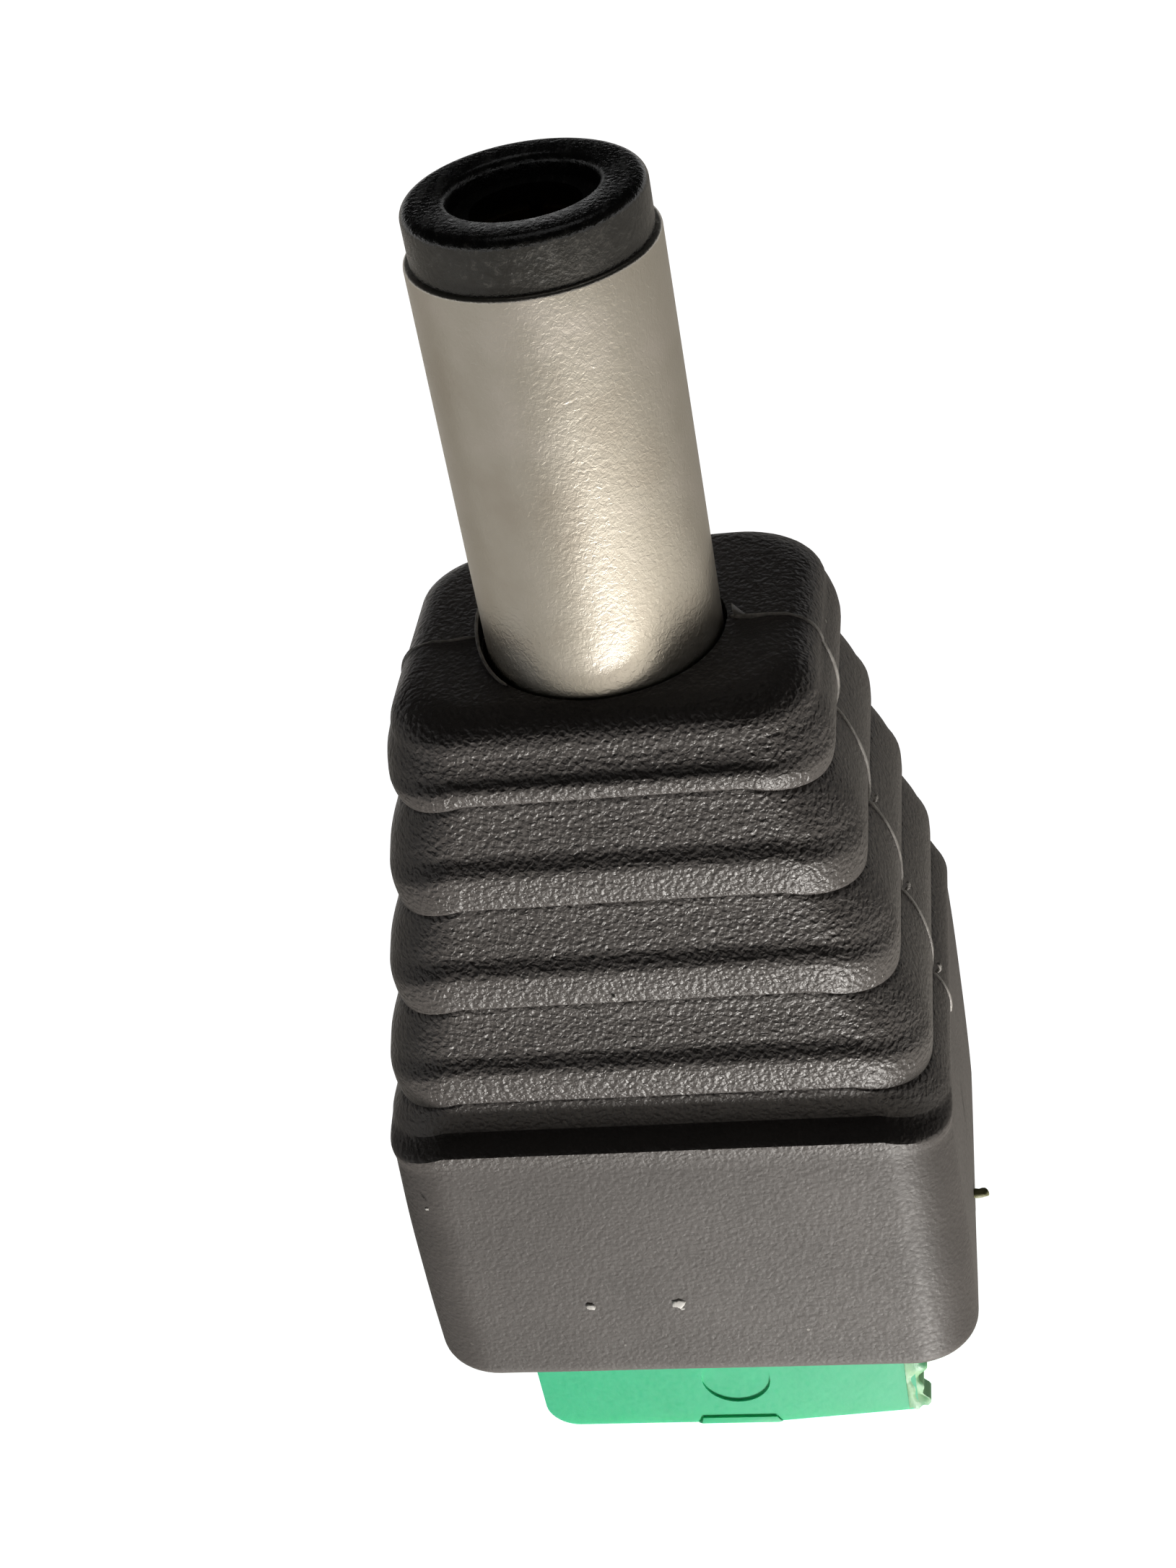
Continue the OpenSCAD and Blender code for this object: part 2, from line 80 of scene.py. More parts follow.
def noise3(p, seed):
    """Smooth pseudo noise from a few sines, about -1..1."""
    r = np.random.default_rng(seed)
    out = np.zeros(len(p))
    for _ in range(7):
        k = r.normal(size=3)
        out += np.sin(p @ k + r.uniform(0, 6.28))
    return out / 3.0


# ------------------------------------------------------------------ meshes

def add_object(name, verts, faces, scale=MM):
    me = bpy.data.meshes.new(name)
    points = [tuple(float(c) * scale for c in v) for v in verts]
    me.from_pydata(points, [], [tuple(int(i) for i in f) for f in faces])
    me.validate()
    me.update()
    ob = bpy.data.objects.new(name, me)
    bpy.context.scene.collection.objects.link(ob)
    return ob


def fix_normals(ob, weld=0):
    """Turns every face outwards, after joining points closer than weld metres."""
    bm = bmesh.new()
    bm.from_mesh(ob.data)
    if weld:
        bmesh.ops.remove_doubles(bm, verts=bm.verts, dist=weld)
    bmesh.ops.recalc_face_normals(bm, faces=bm.faces)
    bm.to_mesh(ob.data)
    bm.free()


def shade(ob, deg):
    ob.data.shade_smooth()
    ob.data.set_sharp_from_angle(angle=math.radians(deg))


def box_mesh(name, lo, hi):
    x0, y0, z0 = lo
    x1, y1, z1 = hi
    plan = [(x0, y0), (x1, y0), (x1, y1), (x0, y1)]
    verts = [(x, y, z) for z in (z0, z1) for x, y in plan]
    faces = [(0, 3, 2, 1), (4, 5, 6, 7), (0, 1, 5, 4), (1, 2, 6, 5), (2, 3, 7, 6), (3, 0, 4, 7)]
    return add_object(name, verts, faces)


def prism(name, outline, y0, y1):
    """An (x, z) outline drawn out from y0 to y1."""
    n = len(outline)
    verts = [(x, y, z) for y in (y0, y1) for x, z in outline]
    faces = [tuple(range(n)), tuple(range(n, 2 * n))[::-1]]
    for i in range(n):
        k = (i + 1) % n
        faces.append((i, k, n + k, n + i))
    ob = add_object(name, verts, faces)
    fix_normals(ob)
    return ob


def lathe(name, profile, n=160, closed=True, centre=(0, 0), axis="z", smooth=40):
    """Revolves (radius, along) points round an axis along Z or Y."""
    m = len(profile)
    verts = []
    for i in range(n):
        a = 2 * math.pi * i / n
        for r, along in profile:
            u, v = centre[0] + r * math.cos(a), centre[1] + r * math.sin(a)
            verts.append((u, v, along) if axis == "z" else (u, along, v))
    faces = []
    last = m if closed else m - 1
    for i in range(n):
        k = (i + 1) % n
        for j in range(last):
            l = (j + 1) % m
            faces.append((i * m + j, k * m + j, k * m + l, i * m + l))
    ob = add_object(name, verts, faces)
    fix_normals(ob, weld=1e-8)
    shade(ob, smooth)
    return ob


def cyl(name, r, z0, z1, c=(0, 0), axis="z", n=96):
    return lathe(name, [(0, z0), (r, z0), (r, z1), (0, z1)], n=n, closed=False, centre=c, axis=axis)


def rounded(r, z, radius, angles):
    """Points of the rounded edge that ends a turned side of radius r at the height z."""
    out = []
    for a in angles:
        c, s = polar(1, a)
        out.append((r - radius * (1 - c), z - radius * (1 - s)))
    return out


def tube(name, pts, radii, sides=8):
    """A closed thin bar along points, drawn in at both ends."""
    pts = [Vector([float(c) for c in q]) for q in pts]
    n = len(pts)
    verts, faces = [], []
    for i, q in enumerate(pts):
        d = (pts[min(i + 1, n - 1)] - pts[max(i - 1, 0)]).normalized()
        a = d.cross(Vector((0.13, 0.31, 0.94)))
        if a.length < 0.2:
            a = d.cross(Vector((1, 0, 0)))
        a.normalize()
        b = d.cross(a)
        r = radii[i] if isinstance(radii, (list, tuple)) else radii
        if i in (0, n - 1):
            r *= 0.35
        for k in range(sides):
            t = 2 * math.pi * k / sides
            verts.append(q + a * r * math.cos(t) + b * r * math.sin(t))
    for i in range(n - 1):
        for k in range(sides):
            l = (k + 1) % sides
            faces.append((i * sides + k, i * sides + l, (i + 1) * sides + l, (i + 1) * sides + k))
    faces.append(tuple(range(sides))[::-1])
    faces.append(tuple((n - 1) * sides + k for k in range(sides)))
    ob = add_object(name, verts, faces)
    fix_normals(ob)
    ob.data.shade_smooth()
    return ob


def flake(name, centre, size, seed):
    """A small ragged chip lying on a face that looks to -Y."""
    r = np.random.default_rng(seed)
    n = Vector((0, -1, 0))
    a = n.cross(Vector((0, 0, 1))).normalized()
    b = n.cross(a)
    c = Vector(centre)
    m = 11
    thick = 0.03
    rad = [size * (0.7 + 0.5 * r.random()) for _ in range(m)]
    verts, faces = [], []
    for k, h in ((1.0, -0.02), (0.95, thick * 0.6), (0.55, thick)):
        for i in range(m):
            t = 2 * math.pi * i / m
            verts.append(c + a * rad[i] * k * math.cos(t) + b * rad[i] * k * math.sin(t) + n * h)
    for l in range(2):
        for i in range(m):
            j = (i + 1) % m
            faces.append((l * m + i, l * m + j, (l + 1) * m + j, (l + 1) * m + i))
    faces.append(tuple(range(m))[::-1])
    faces.append(tuple(2 * m + i for i in range(m)))
    ob = add_object(name, verts, faces)
    fix_normals(ob)
    ob.data.shade_smooth()
    return ob


def apply_modifiers(ob):
    dg = bpy.context.evaluated_depsgraph_get()
    me = bpy.data.meshes.new_from_object(ob.evaluated_get(dg))
    ob.modifiers.clear()
    old = ob.data
    ob.data = me
    bpy.data.meshes.remove(old)


def boolean(ob, tools, op="DIFFERENCE"):
    """Cuts the tools out of ob, or adds them, and deletes them."""
    for c in tools:
        m = ob.modifiers.new("cut", "BOOLEAN")
        m.operation = op
        m.solver = "EXACT"
        m.object = c
    apply_modifiers(ob)
    for c in tools:
        bpy.data.objects.remove(c, do_unlink=True)


def bevel(ob, width, deg=35):
    m = ob.modifiers.new("edge", "BEVEL")
    m.width = width * MM
    m.segments = 2
    m.limit_method = "ANGLE"
    m.angle_limit = math.radians(deg)
    m.use_clamp_overlap = True
    m.harden_normals = False
    apply_modifiers(ob)


# ------------------------------------------------------------------ sizes that the CAD gives

def cad_box(node):
    """The low and the high corner of a CAD node's box."""
    return [[c / MM for c in corner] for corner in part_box(node)]


SHELL_LOW, SHELL_HIGH = cad_box("front_shell")
BASE = SHELL_LOW[2]
FACE = SHELL_HIGH[2]
SLEEVE_TOP = cad_box("barrel_sleeve")[1][2]
TIP = cad_box("tip_insulator")[1][2]
BLOCK_TOP = cad_box("terminal_block")[1][2]
SIDES = ("left", "right")
SCREW_BOX = [cad_box("clamp_screw_" + side) for side in SIDES]
SCREW_X = [(low[0] + high[0]) / 2 for low, high in SCREW_BOX]
SCREW_Z = (SCREW_BOX[1][0][2] + SCREW_BOX[1][1][2]) / 2
SCREW_LOW_Y = SCREW_BOX[0][0][1]
SCREW_TOP_Y = SCREW_BOX[0][1][1]

# ------------------------------------------------------------------ sizes as in the part's source

BARREL_R, BORE_R = 2.75, 2.3
FLANGE_R, HEAD_WALL = 3.0, 1.2
BLOCK_X, BLOCK_FRONT, BLOCK_REAR = 0.3, -4.3, 5.7
BLOCK_HALF, BLOCK_LIP, LIP_H = 5.1, 0.35, 1.8
BLOCK_ROUND = 0.8
HEAD_LEN, PITCH, RIBS = 2.1, 2.78, 3
RIB_SWELL, FACE_SWELL, DIP = 0.28, 0.07, 0.55
RIB_CORNER, CASE_CORNER = 1.8, 1.6
HEAD_ROUND, END_ROUND, SHOULDER_LEN = 0.85, 0.6, 1.5
SEAM_STEP = 0.09
CREASE_LIFT, CREASE_DEPTH = 0.03, 0.03
# how many sections each stretch of the housing has
HEAD_STEPS, BROW_STEPS, RIB_STEPS, SHOULDER_STEPS, CASE_STEPS, END_STEPS = 10, 14, 30, 24, 30, 10

# ------------------------------------------------------------------ the housing's sections
# A section is an array: height, half width, depth in front, depth behind, corner radius and how
# far the middles of its two ends hang down.


def crease(k):
    t = k / RIBS
    half_w, front, rear = lerp(10.1, 13.3, t) / 2, lerp(3.75, 4.7, t), lerp(4.7, 6.7, t)
    return np.array([FACE - HEAD_LEN - k * PITCH, half_w, front, rear, RIB_CORNER, DIP])


def arch(t):
    return 4 * t * (1 - t)


def late_arch(t):
    return 6.75 * t * t * (1 - t)


def ledge(t, at, share, width):
    """A slow lean outwards, with a share of the step on a narrow ledge."""
    return (1 - share) * ease(t / (at + 0.1)) + share * ease((t - at + width / 2) / width)


def between(a, b, t, side, face, rc, at=0.56, share=0.6, width=0.2):
    """The section a part t of the way from a to b, with swelling sides and faces."""
    out = ledge(t, at, share, width)
    return np.array([
        lerp(a[0], b[0], t),
        lerp(a[1], b[1], t) + side * arch(t),
        lerp(a[2], b[2], out) + face * late_arch(t),
        lerp(a[3], b[3], out) + face * late_arch(t),
        rc,
        lerp(a[5], b[5], t)])


def swollen(l, d):
    return l + np.array([0, d, d, d, 0, 0])


HEEL = np.array([BASE + END_ROUND, 7.2, 5.2, 6.95, CASE_CORNER, 0])


def housing_levels():
    """Every section from the head's face down to the bottom."""
    c0, last = crease(0), crease(RIBS)
    brow = np.array([FACE - HEAD_ROUND, c0[1] - 0.08, c0[2] - 0.2, c0[3] - 0.1, RIB_CORNER, 0])
    shoulder = np.array([last[0] - SHOULDER_LEN, 7.0, 5.35, 7.1, CASE_CORNER, DIP])
    levels = []
    for i in range(HEAD_STEPS):
        c, s = polar(1, 90 * i / HEAD_STEPS)
        l = swollen(brow, -HEAD_ROUND * (1 - s))
        l[0] = brow[0] + HEAD_ROUND * c
        levels.append(l)
    for i in range(BROW_STEPS):
        levels.append(between(brow, c0, i / BROW_STEPS, 0.7 * RIB_SWELL, FACE_SWELL, RIB_CORNER))
    lift = np.array([CREASE_LIFT, 0, 0, 0, 0, 0])
    for k in range(RIBS):
        a, b = crease(k), crease(k + 1)
        levels += [a + lift, swollen(a, -CREASE_DEPTH)]
        for i in range(1, RIB_STEPS):
            levels.append(between(a, b, i / RIB_STEPS, RIB_SWELL, FACE_SWELL, RIB_CORNER))
    levels += [last + lift, swollen(last, -CREASE_DEPTH)]
    for i in range(1, SHOULDER_STEPS):
        t = i / SHOULDER_STEPS
        corner = lerp(RIB_CORNER, CASE_CORNER, t)
        levels.append(between(last, shoulder, t, 0.2, 0.02, corner, 0.68, 0.92, 0.22))
    for i in range(CASE_STEPS):
        t = i / CASE_STEPS
        l = lerp(shoulder, HEEL, t)
        l[1] = lerp(shoulder[1], HEEL[1], t * (2 - t))
        levels.append(l)
    for i in range(END_STEPS + 1):
        c, s = polar(1, 90 * i / END_STEPS)
        l = swollen(HEEL, -END_ROUND * (1 - c))
        l[0] = HEEL[0] - END_ROUND * s
        levels.append(l)
    return levels


LEVELS = housing_levels()
CASE_FROM = len(LEVELS) - CASE_STEPS - END_STEPS - 1


def ring(l, corner=14, wide=44, narrow=30):
    """The points of one section, corner by corner."""
    z, w, df, dr, rc, dip = l
    corners = []
    for q in range(4):
        cx = (w - rc) if q in (0, 3) else (rc - w)
        cy = (dr - rc) if q < 2 else (rc - df)
        seg = []
        for i in range(corner + 1):
            a = math.pi / 2 * (q + i / corner)
            seg.append((cx + rc * math.cos(a), cy + rc * math.sin(a), z - dip * abs(math.cos(a))))
        corners.append(seg)
    pts = []
    for q in range(4):
        pts += corners[q]
        n = wide if q in (0, 2) else narrow
        a = np.array(corners[q][-1])
        b = np.array(corners[(q + 1) % 4][0])
        for i in range(1, n):
            pts.append(tuple(lerp(a, b, i / n)))
    return pts


def skin(name, drop, seed):
    """The housing as a full solid, lowered by drop, with faint waves across its faces."""
    rows = [ring(l) for l in LEVELS]
    n = len(rows[0])
    m = len(rows)
    p = np.array(rows).reshape(-1, 3)
    wave = 0.012
    push = noise3(p * np.array([0.55, 0.55, 0.9]), seed) * wave - wave
    d = (p - np.array([0, 0.8, 0])) * np.array([1, 1, 0])
    d /= np.maximum(np.linalg.norm(d, axis=1), 1e-6)[:, None]
    p = p + d * push[:, None]
    p[:, 2] -= drop
    faces = []
    for i in range(m - 1):
        for j in range(n):
            k = (j + 1) % n
            faces.append((i * n + j, i * n + k, (i + 1) * n + k, (i + 1) * n + j)[::-1])
    faces.append(tuple(range(n)))
    faces.append(tuple((m - 1) * n + j for j in range(n))[::-1])
    ob = add_object(name, p, faces)
    fix_normals(ob)
    return ob


def hollow_cutters():
    """The spaces inside, from the barrel's hole down to the terminal block's bay."""
    half, gap = BLOCK_HALF, 0.05
    front, rear, top = BLOCK_FRONT - gap, BLOCK_REAR + gap, 10.35
    narrow, broad = half + gap, half + BLOCK_LIP + gap
    return [
        cyl("barrel_hole", BARREL_R + 0.1, FACE - 1.25, FACE + 5),
        cyl("flange_seat", FLANGE_R + gap, FACE - 2.9, FACE - HEAD_WALL),
        box_mesh("washer_space", (-3.2, -2.1, FACE - 4.8), (3.2, 2.1, FACE - 2.8)),
        box_mesh("chamber", (-4.25, -3.15, 10.3), (4.25, 4.1, FACE - 4.7)),
        box_mesh("bay", (BLOCK_X - narrow, front, -5), (BLOCK_X + narrow, rear, top)),
        box_mesh("lip_bay", (BLOCK_X - broad, front, 8.45), (BLOCK_X + broad, rear, top)),
    ]


# ------------------------------------------------------------------ materials

class Mat:
    """A principled material with a small node builder. Frequencies are per mm."""

    def __init__(self, name):
        self.m = bpy.data.materials.new(name)
        self.m.use_nodes = True
        self.t = self.m.node_tree
        self.b = self.t.nodes["Principled BSDF"]
        self.co = self.n("ShaderNodeTexCoord").outputs["Object"]

    def n(self, kind, **kw):
        nd = self.t.nodes.new(kind)
        for k, v in kw.items():
            setattr(nd, k, v)
        return nd

    def link(self, a, b):
        self.t.links.new(a, b)

    def feed(self, a, socket):
        self.link(a, self.b.inputs[socket])

    def set(self, **kw):
        for k, v in kw.items():
            self.b.inputs[k.replace("_", " ")].default_value = v

    def mapping(self, scale, loc=(0, 0, 0)):
        mp = self.n("ShaderNodeMapping")
        mp.inputs["Scale"].default_value = scale
        mp.inputs["Location"].default_value = loc
        self.link(self.co, mp.inputs["Vector"])
        return mp.outputs["Vector"]

    def noise(self, per_mm, detail=2.0, rough=0.5, distortion=0.0, stretch=(1, 1, 1), loc=(0, 0, 0)):
        nd = self.n("ShaderNodeTexNoise")
        nd.inputs["Scale"].default_value = 1.0
        nd.inputs["Detail"].default_value = detail
        nd.inputs["Roughness"].default_value = rough
        nd.inputs["Distortion"].default_value = distortion
        s = per_mm * 1000
        self.link(self.mapping([s * k for k in stretch], loc), nd.inputs["Vector"])
        return nd.outputs["Fac"]

    def voronoi(self, per_mm, feature="F1"):
        nd = self.n("ShaderNodeTexVoronoi", feature=feature)
        nd.inputs["Scale"].default_value = 1.0
        nd.inputs["Randomness"].default_value = 1.0
        if feature == "SMOOTH_F1":
            nd.inputs["Smoothness"].default_value = 0.5
        s = per_mm * 1000
        self.link(self.mapping((s, s, s)), nd.inputs["Vector"])
        return nd.outputs["Distance"]

    def ramp(self, fac, stops):
        r = self.n("ShaderNodeValToRGB")
        e = r.color_ramp.elements
        while len(e) > 1:
            e.remove(e[-1])
        e[0].position = stops[0][0]
        e[0].color = self.rgba(stops[0][1])
        for p, c in stops[1:]:
            x = e.new(p)
            x.color = self.rgba(c)
        self.link(fac, r.inputs["Fac"])
        return r.outputs["Color"]

    @staticmethod
    def rgba(c):
        return (c, c, c, 1) if isinstance(c, (int, float)) else (*c, 1)

    def math(self, op, a, b):
        nd = self.n("ShaderNodeMath", operation=op)
        for i, v in enumerate((a, b)):
            if isinstance(v, (int, float)):
                nd.inputs[i].default_value = v
            else:
                self.link(v, nd.inputs[i])
        return nd.outputs[0]

    def mix(self, fac, a, b):
        """Colour a where fac is 0, and the plain colour b where it is 1."""
        nd = self.n("ShaderNodeMix", data_type="RGBA")
        self.link(fac, nd.inputs[0])
        self.link(a, nd.inputs[6])
        nd.inputs[7].default_value = self.rgba(b)
        return nd.outputs[2]

    def range(self, v, a, b, c, d):
        nd = self.n("ShaderNodeMapRange")
        for i, x in zip((1, 2, 3, 4), (a, b, c, d)):
            nd.inputs[i].default_value = x
        self.link(v, nd.inputs[0])
        return nd.outputs[0]

    def height(self):
        s = self.n("ShaderNodeSeparateXYZ")
        self.link(self.co, s.inputs[0])
        return s.outputs[2]

    def bump(self, height, depth_mm, strength, under=None):
        nd = self.n("ShaderNodeBump")
        nd.inputs["Strength"].default_value = strength
        nd.inputs["Distance"].default_value = depth_mm * MM
        self.link(height, nd.inputs["Height"])
        if under is not None:
            self.link(under, nd.inputs["Normal"])
        return nd.outputs["Normal"]


# metres: the plain case ends and the ribs begin between these two heights
CASE_TOP_M, RIBS_FROM_M = 0.0108, 0.0122


def black_plastic():
    """Grained black plastic: the grain is shallow and dull on the case, sharp on the ribs."""
    m = Mat("black_plastic")
    z = m.height()
    worm = m.noise(8.5, 1.5, 0.55, 0.5)
    cell = m.voronoi(8.0, "SMOOTH_F1")
    grain = m.math("ADD", m.math("MULTIPLY", worm, 0.75), m.math("MULTIPLY", cell, 0.45))
    broad = m.noise(0.5, 3.0, 0.6)
    tone = m.ramp(broad, [(0.3, (0.088, 0.079, 0.074)), (0.7, (0.112, 0.101, 0.095))])
    speck = m.ramp(m.voronoi(1.1), [(0.0, 1.0), (0.045, 1.0), (0.06, 0.0)])
    keep = m.ramp(m.noise(0.9, 1.0, 0.5, loc=(3, 1, 7)), [(0.6, 0.0), (0.66, 1.0)])
    m.feed(m.mix(m.math("MULTIPLY", speck, keep), tone, (0.42, 0.40, 0.37)), "Base Color")
    rough = m.range(grain, 0.3, 0.9, 0.34, 0.50)
    m.feed(m.math("ADD", rough, m.range(z, CASE_TOP_M, RIBS_FROM_M, 0.18, 0.0)), "Roughness")
    depth = m.range(z, CASE_TOP_M, RIBS_FROM_M, 0.30, 1.0)
    waves = m.bump(broad, 0.05, 0.35)
    m.feed(m.bump(m.math("MULTIPLY", grain, depth), 0.06, 1.0, waves), "Normal")
    m.set(Specular_IOR_Level=0.5, IOR=1.5)
    return m.m


def tip_plastic():
    """Smoother, nearly black plastic with brownish rub marks."""
    m = Mat("tip_plastic")
    grain = m.noise(9.0, 2.0, 0.6, 0.3)
    rub = m.noise(1.6, 3.0, 0.7, 0.6, stretch=(3.0, 0.6, 3.0))
    broad = m.noise(1.2, 3.0, 0.6)
    tone = m.ramp(broad, [(0.3, (0.010, 0.010, 0.009)), (0.75, (0.022, 0.021, 0.018))])
    mark = m.ramp(rub, [(0.60, 0.0), (0.64, 1.0), (0.66, 0.0)])
    m.feed(m.mix(mark, tone, (0.07, 0.065, 0.055)), "Base Color")
    m.feed(m.range(rub, 0.35, 0.65, 0.16, 0.34), "Roughness")
    m.feed(m.bump(grain, 0.02, 0.8), "Normal")
    m.set(Specular_IOR_Level=1.0)
    return m.m


def nickel():
    m = Mat("nickel")
    cloud = m.noise(0.6, 4.0, 0.6)
    tone = m.ramp(cloud, [
        (0.3, (0.70, 0.65, 0.57)), (0.5, (0.74, 0.70, 0.62)), (0.72, (0.78, 0.73, 0.66))])
    m.feed(tone, "Base Color")
    m.feed(m.range(cloud, 0.3, 0.7, 0.31, 0.36), "Roughness")
    peel = m.bump(m.noise(8.0, 2.0, 0.6, 0.8), 0.011, 0.9)
    m.feed(m.bump(m.noise(20.0, 2.0, 0.6), 0.0015, 0.6, peel), "Normal")
    m.set(Metallic=1.0)
    return m.m


def green_plastic():
    m = Mat("green_plastic")
    broad = m.noise(0.5, 3.0, 0.6)
    fine = m.noise(7.0, 2.0, 0.5)
    m.feed(m.ramp(broad, [(0.3, (0.047, 0.69, 0.34)), (0.7, (0.062, 0.77, 0.39))]), "Base Color")
    m.feed(m.range(fine, 0.3, 0.7, 0.34, 0.48), "Roughness")
    m.feed(m.bump(fine, 0.005, 0.5, m.bump(broad, 0.04, 0.3)), "Normal")
    m.set(Specular_IOR_Level=0.45, Subsurface_Weight=0.12, Subsurface_Scale=0.0008)
    m.set(Subsurface_Radius=(0.4, 1.0, 0.6))
    return m.m


def metal(name, dark, light, r0, r1, grain_per_mm=6.0, depth=0.004):
    m = Mat(name)
    grain = m.noise(grain_per_mm, 3.0, 0.6)
    m.feed(m.ramp(m.noise(0.9, 4.0, 0.65), [(0.3, dark), (0.7, light)]), "Base Color")
    m.feed(m.range(grain, 0.3, 0.7, r0, r1), "Roughness")
    m.feed(m.bump(grain, depth, 0.7), "Normal")
    m.set(Metallic=1.0)
    return m.m


def ivory_plastic():
    m = Mat("ivory_plastic")
    broad = m.noise(0.8, 3.0, 0.6)
    m.feed(m.ramp(broad, [(0.3, (0.62, 0.56, 0.44)), (0.7, (0.74, 0.69, 0.57))]), "Base Color")
    m.feed(m.range(broad, 0.3, 0.7, 0.4, 0.55), "Roughness")
    m.feed(m.bump(m.noise(5.0, 2.0, 0.5), 0.006, 0.6), "Normal")
    return m.m


def thin_plastic(name, dark, light, r0, r1, per_mm=3.0):
    """Flash, chips and burrs: thin plastic of uneven colour; the pale flash and the olive burr also
    carry painted light.
    """
    m = Mat(name)
    broad = m.noise(per_mm, 3.0, 0.65)
    m.feed(m.ramp(broad, [(0.35, dark), (0.65, light)]), "Base Color")
    m.feed(m.range(broad, 0.3, 0.7, r0, r1), "Roughness")
    m.feed(m.bump(m.noise(9.0, 2.0, 0.6), 0.01, 0.7), "Normal")
    return m.m


MATS = {
    "black_plastic": black_plastic(),
    "tip_plastic": tip_plastic(),
    "nickel": nickel(),
    "green_plastic": green_plastic(),
    "brass_plate": metal("brass_plate", (0.62, 0.45, 0.20), (0.78, 0.60, 0.32), 0.22, 0.36),
    "tin": metal("tin", (0.52, 0.52, 0.50), (0.68, 0.68, 0.66), 0.32, 0.48),
    "solder": metal("solder", (0.42, 0.42, 0.42), (0.60, 0.60, 0.60), 0.25, 0.5, 3.0, 0.01),
    "zinc": metal("zinc", (0.50, 0.50, 0.48), (0.66, 0.67, 0.68), 0.28, 0.44),
    "ivory_plastic": ivory_plastic(),
    # flash: pale partly as the stretched plastic's own colour, partly as a painted highlight on the
    # seam lines, curls, wedge and fin edge
    "flash": thin_plastic("flash", (0.34, 0.32, 0.30), (0.66, 0.63, 0.59), 0.3, 0.5),
    "seam_dark": thin_plastic("seam_dark", (0.012, 0.011, 0.010), (0.03, 0.028, 0.026), 0.5, 0.7),
    # burr: its olive tone is painted light, standing in for light that shines through the thin plastic
    "burr": thin_plastic("burr", (0.22, 0.23, 0.10), (0.36, 0.36, 0.18), 0.4, 0.6),
    "white_speck": thin_plastic("white_speck", (0.62, 0.60, 0.56), (0.86, 0.84, 0.80), 0.5, 0.7),
    "lime_flash": thin_plastic("lime_flash", (0.10, 0.50, 0.24), (0.30, 0.68, 0.32), 0.35, 0.55, 1.3),
    "pale_rim": thin_plastic("pale_rim", (0.25, 0.62, 0.42), (0.55, 0.80, 0.66), 0.4, 0.6),
}


def dress_cad_nodes():
    slots = {s["node"]: s["material_slot"] for s in frame["record"]["subparts"]}
    for node, ob in frame["nodes"].items():
        if not ob.material_slots:
            ob.data.materials.append(MATS[slots[node]])
        for slot in ob.material_slots:
            slot.material = MATS[slots[node]]


def dress(ob, look, body="plug"):
    ob.data.materials.clear()
    ob.data.materials.append(MATS[look])
    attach(ob, body)


# ------------------------------------------------------------------ housing and barrel

def housing():
    front = skin("housing_front", 0.0, 3)
    boolean(front, [box_mesh("rear_half", (-20, 0, -20), (20, 20, 60))] + hollow_cutters())
    shade(front, 34)
    rear = skin("housing_rear", SEAM_STEP, 11)
    front_half = box_mesh("front_half", (-20, -20, -20), (20, 0, 60))
    below = box_mesh("below", (-20, -20, -20), (20, 20, BASE))
    wells = [cyl("driver_hole", 1.95, 5.6, 12, c=(x, SCREW_Z), axis="y") for x in SCREW_X]
    boolean(rear, [front_half, below] + hollow_cutters() + wells)
    shade(rear, 34)
    dress(front, "black_plastic")
    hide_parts("front_shell")
    dress(rear, "black_plastic")
    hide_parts("rear_shell")


def sleeve():
    """The plated tube: its flange in the head, and a rolled edge at its open end."""
    flange = [(BORE_R, FACE - 2.4), (FLANGE_R, FACE - 2.4), (FLANGE_R, FACE - HEAD_WALL)]
    side = [(BARREL_R, FACE - HEAD_WALL), (BARREL_R, SLEEVE_TOP - 0.09)]
    edge = rounded(BARREL_R, SLEEVE_TOP, 0.09, (22, 45, 68, 90)) + [(BORE_R, SLEEVE_TOP)]
    ob = lathe("sleeve", flange + side + edge, n=256)
    dress(ob, "nickel")
    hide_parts("barrel_sleeve")


def tip_lining():
    """The moulded lining: its collar at the tip, the mouth, the guide hole and the bore."""
    collar_r, mouth_r, guide_r, bore_r = BARREL_R - 0.14, 1.6, 1.2, 1.45
    collar = [(BORE_R - 0.05, FACE - 1.5), (BORE_R - 0.05, SLEEVE_TOP), (collar_r, SLEEVE_TOP)]
    collar += rounded(collar_r, TIP, 0.25, range(0, 91, 10))
    mouth = [(1.75, TIP), (1.68, TIP - 0.03), (1.62, TIP - 0.10), (mouth_r, TIP - 0.2)]
    mouth += [(mouth_r, TIP - 0.45), (guide_r, TIP - 0.45), (guide_r, TIP - 0.95)]
    bore = [(bore_r, TIP - 0.95), (bore_r, FACE - 1.5)]
    ob = lathe("tip_lining", collar + mouth + bore, n=256, smooth=50)
    dress(ob, "tip_plastic")
    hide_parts("tip_insulator")


# ------------------------------------------------------------------ seam, flash and specks

def side_line(sign, first, last, out, y, sway, per_mm):
    """A slightly wavering line up the side, where the halves of the housing meet."""
    pts = []
    for l in LEVELS[first:last]:
        z = l[0] - l[5]
        pts.append((sign * (l[1] + out), y + sway * math.sin(per_mm * z + sign), z))
    return pts


def side_seams():
    for sign, side in ((1, "right"), (-1, "left")):
        pts = side_line(sign, 3, CASE_FROM, -0.004, -0.01, 0.02, 3.1)
        dress(tube("seam_ribs_" + side, pts, 0.045), "flash")
        pts = side_line(sign, CASE_FROM, len(LEVELS) - 6, -0.03, 0.0, 0.015, 1.7)
        dress(tube("seam_case_" + side, pts, 0.022), "seam_dark")


